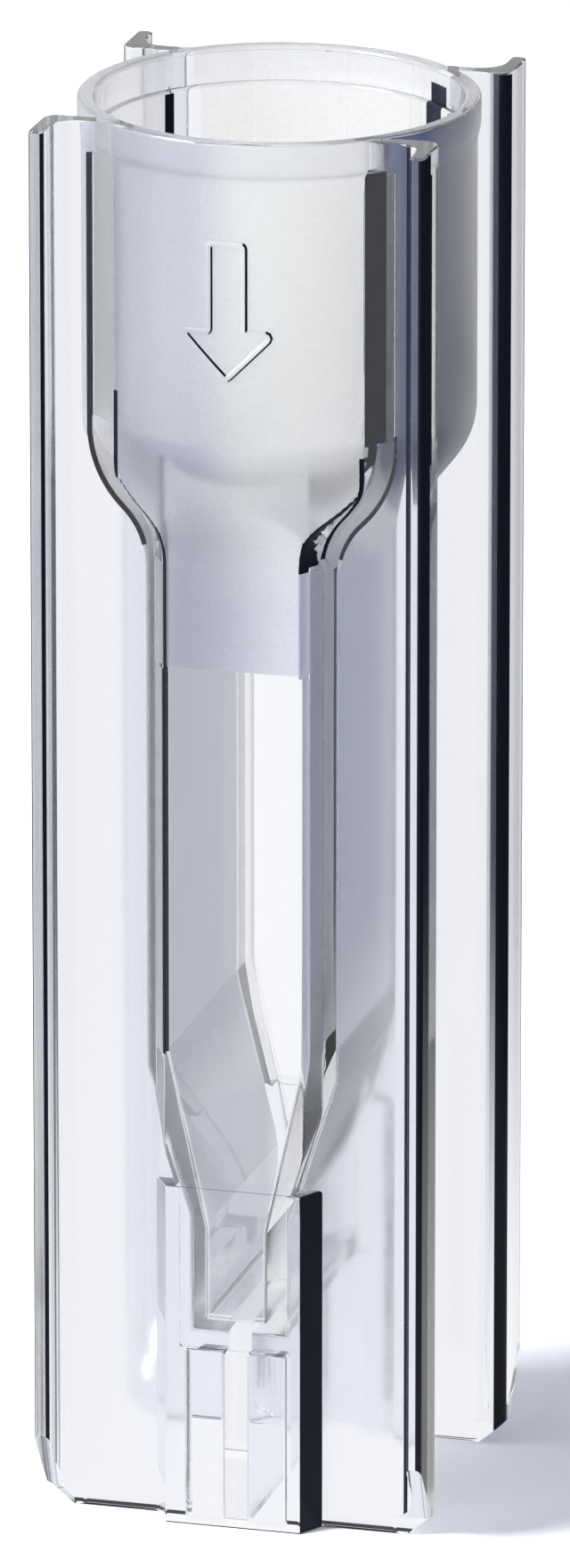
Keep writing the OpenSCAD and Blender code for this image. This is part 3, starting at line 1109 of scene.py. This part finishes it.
def welded(mesh, gap):
    """The mesh opened for editing, with points closer than the gap made one."""
    bm = bmesh.new()
    bm.from_mesh(mesh)
    bmesh.ops.remove_doubles(bm, verts=bm.verts, dist=gap)
    return bm


sweep = mark.modifiers.new("raised line", "NODES")
sweep.node_group = line_tree
sockets = {item.name: item.identifier for item in line_tree.interface.items_tree}
sweep[sockets["Ridge radius"]] = RIDGE_R
sweep[sockets["Finish"]] = finishes[SATIN]
ridge = plain_mesh(mark)
mark.modifiers.remove(sweep)
mark.data = ridge
written(welded(ridge, 0.0001 * MM), ridge)
# Painted shade: the ridge's faces that turn to the right are dark, the others satin.
join(body, painted(mark, lambda p, normal: SHADED if normal.x > 0.35 else SATIN))
print("with the mark:", len(body.data.polygons), "faces")

# %% [markdown]
# ## Smooth curves and crisp edges
# All faces are shaded smooth, and edges that turn by more than about thirty degrees
# are marked sharp. The Weighted Normal modifier then lets the big flat faces decide
# the shading beside each small rounding, so flat faces look flat. More faces could do
# the same, but the part would become heavy.

# %% Smooth curves
SHARP = radians(32)
bm = welded(body.data, 0.0004 * MM)
for edge in bm.edges:
    edge.smooth = len(edge.link_faces) == 2 and edge.calc_face_angle(0) < SHARP
for face in bm.faces:
    face.smooth = True
print("open edges:", sum(len(edge.link_faces) != 2 for edge in bm.edges))
bm.to_mesh(body.data)
bm.free()
even = body.modifiers.new("even", "WEIGHTED_NORMAL")
even.keep_sharp = True
even.weight = 80
mesh = plain_mesh(body)
body.modifiers.remove(even)
body.data = mesh
body.name = mesh.name = "moulded_body"
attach(body, "root")
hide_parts("cuvette_body")
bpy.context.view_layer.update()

# %% [markdown]
# ## Light that is caught inside
# Clear plastic has no look without surroundings. Light that comes straight through
# shows the white floor, and light that was reflected once inside a wall leads to the
# darker room at the side. Light Path tells both apart: a ray that was reflected
# inside has a Glossy Depth above zero, and one that crossed a single wall has a low
# Transmission Depth. Dark cards could do it, but they would shade the floor.

# %% Caught light
TRAPPED = (0.022, 0.03, 0.055, 1)
NEAR, FAR = 12 * MM, 70 * MM


def trapped(tree, rays):
    """1 for light that was reflected inside one wall."""
    bounced = math_node(tree, "GREATER_THAN", rays.outputs["Glossy Depth"], 0.5)
    one_wall = math_node(tree, "LESS_THAN", rays.outputs["Transmission Depth"], 3.5)
    return math_node(tree, "MULTIPLY", bounced, one_wall)


def through(tree, rays):
    """1 for rays that come from the plastic."""
    return math_node(tree, "MAXIMUM", rays.outputs["Is Glossy Ray"], rays.outputs["Is Transmission Ray"])


print("caught light darkens until", round(FAR / MM), "mm away")

# %% [markdown]
# ## Floor
# The floor is white paper. Its Diffuse shader takes the cuvette's soft shadow. For
# the camera a little blue light is added, as a pale sheet gets from a bright room.
# Rays that come from the plastic see plain white there, and the caught ones see it
# fall off to dark with distance. On plain paper the plastic would hardly show.

# %% Tones of the floor
DARK_SIDE = radians(30)


def dark_share(tree, rays):
    """How dark the caught rays see the floor: not at all near by, most of all to the right."""
    place = node(tree, "TexCoord").outputs["Object"]
    away = vector_node(tree, "LENGTH", place).outputs["Value"]
    far = share(tree, away, NEAR, FAR, blend="SMOOTHSTEP")
    spot = vector_node(tree, "NORMALIZE", place)
    to_dark = (cos(DARK_SIDE), sin(DARK_SIDE), 0)
    facing = vector_node(tree, "DOT_PRODUCT", spot, to_dark).outputs["Value"]
    side = share(tree, facing, -0.6, 0.4, 0.25, 1.0, "SMOOTHSTEP")
    return math_node(tree, "MULTIPLY", trapped(tree, rays), math_node(tree, "MULTIPLY", far, side))


def sheet(tree, rays):
    """The paper: matt, brighter for the camera, and plain light for the plastic."""
    matt = node(tree, "BsdfDiffuse", Color=(0.8, 0.8, 0.8, 1))
    bright = node(tree, "BsdfDiffuse", Color=(0.97, 0.97, 0.97, 1))
    lift = node(tree, "Emission", Color=(0.72, 0.75, 1, 1), Strength=0.135)
    lifted = node(tree, "AddShader", bright, lift)
    seen = node(tree, "MixShader", rays.outputs["Is Camera Ray"], matt, lifted)
    glow = node(tree, "Emission", Color=mixed(tree, dark_share(tree, rays), WHITE, TRAPPED))
    return node(tree, "MixShader", through(tree, rays), seen, glow)


print("caught light is darkest", round(degrees(DARK_SIDE)), "degrees behind the right")

# %% Floor
def cleared(owner):
    """The owner's node tree, emptied."""
    owner.use_nodes = True
    owner.node_tree.nodes.clear()
    return owner.node_tree


bpy.ops.mesh.primitive_plane_add(size=3, location=(0, 0, 0))
floor = bpy.context.object
floor.name = "floor"
paper = bpy.data.materials.new("white_paper")
tree = cleared(paper)
node(tree, "OutputMaterial", Surface=sheet(tree, node(tree, "LightPath")))
floor.data.materials.append(paper)
print("paper's nodes:", len(tree.nodes))

# %% [markdown]
# ## Dark card
# In a studio a black card stands beside a clear object, so that its side reflects
# something dark. This one is only seen in reflections. It throws no shadow and never
# shows through the plastic. A dark world would darken every side alike.

# %% Dark card
CAMERA_TURN, CAMERA_TILT = radians(15.304), radians(17.462)
CARD_LOW, CARD_HIGH = 1, 250


def seen_from_camera(right, behind):
    """A place so far to the right of and behind the cuvette, as the camera sees it."""
    c, s = cos(CAMERA_TURN), sin(CAMERA_TURN)
    return right * c - behind * s, right * s + behind * c


def reflected_card(name, start, end):
    """An upright dark card that only shows in reflections."""
    corners = [(*start, CARD_LOW), (*end, CARD_LOW), (*end, CARD_HIGH), (*start, CARD_HIGH)]
    mesh = bpy.data.meshes.new(name)
    mesh.from_pydata([Vector(p) * MM for p in corners], [], [(0, 1, 2, 3)])
    paint = bpy.data.materials.new(name)
    tree = cleared(paint)
    node(tree, "OutputMaterial", Surface=node(tree, "Emission", Color=(0.012, 0.015, 0.025, 1)))
    mesh.materials.append(paint)
    made = placed(name, mesh)
    made.visible_camera = made.visible_diffuse = made.visible_shadow = made.visible_transmission = False
    return made


card = reflected_card("right_card", seen_from_camera(28, -60), seen_from_camera(60, 150))
print("card's height:", round(card.dimensions.z / MM), "mm")

# %% [markdown]
# ## World
# The world is the room: a weak, slightly blue light for the matt faces, and plain
# white for what the camera and the plastic see of it. A picture of a real room would
# do, but plain tones keep the lines on the plastic clean.

# %% World
world = bpy.data.worlds.new("soft_room")
bpy.context.scene.world = world
tree = cleared(world)
rays = node(tree, "LightPath")
room_light = node(tree, "Background", Color=(0.82, 0.87, 1, 1), Strength=0.355)
white_room = node(tree, "Background", Color=WHITE)
shown = math_node(tree, "MAXIMUM", rays.outputs["Is Camera Ray"], through(tree, rays))
node(tree, "OutputWorld", Surface=node(tree, "MixShader", shown, room_light, white_room))
print("world's nodes:", len(tree.nodes))

# %% [markdown]
# ## Key lamp
# One round soft lamp stands at the front left, so the shadow falls to the right and
# back with a soft edge. A sun lamp would draw the shadow harder.

# %% Key lamp
def look_along(obj, direction):
    """Turns a lamp or a camera so that it looks in a direction."""
    obj.rotation_mode = "QUATERNION"
    obj.rotation_quaternion = direction.to_track_quat("-Z", "Y")


lamp = bpy.data.lights.new("key", "AREA")
lamp.shape = "DISK"
lamp.size = 0.3
lamp.energy = 9.4
lamp.color = (1, 1, 0.99)
key = placed("key", lamp)
key.location = (-0.42, -0.3, 0.4)
look_along(key, Vector((0, 0, 0.02)) - key.location)
print("the lamp stands", round(key.location.length, 2), "m away")

# %% [markdown]
# ## Camera
# A long lens half a metre away keeps the upright edges nearly parallel. A camera
# nearer by would do with a shorter one, but it would swell the mouth.

# %% Camera
AIM_RIGHT, AIM_UP, CAMERA_AWAY = 0.179, 22.724, 0.5
# The frame is 1762 pixels high, and the lens is 18034 of those pixels long.
PICTURE_HIGH, LENS_PIXELS = 1762, 18034
aim = Vector((*seen_from_camera(AIM_RIGHT, 0), AIM_UP)) * MM
off_axis = cos(CAMERA_TILT)
back = Vector((sin(CAMERA_TURN) * off_axis, -cos(CAMERA_TURN) * off_axis, sin(CAMERA_TILT)))
camera = placed("camera", bpy.data.cameras.new("camera"))
camera.location = aim + back * CAMERA_AWAY
look_along(camera, -back)
camera.data.lens = 36 * LENS_PIXELS / PICTURE_HIGH
camera.data.clip_start = 0.01
camera.data.clip_end = 5
bpy.context.scene.camera = camera
bpy.context.scene.view_settings.view_transform = "Standard"
print("lens:", round(camera.data.lens), "mm")
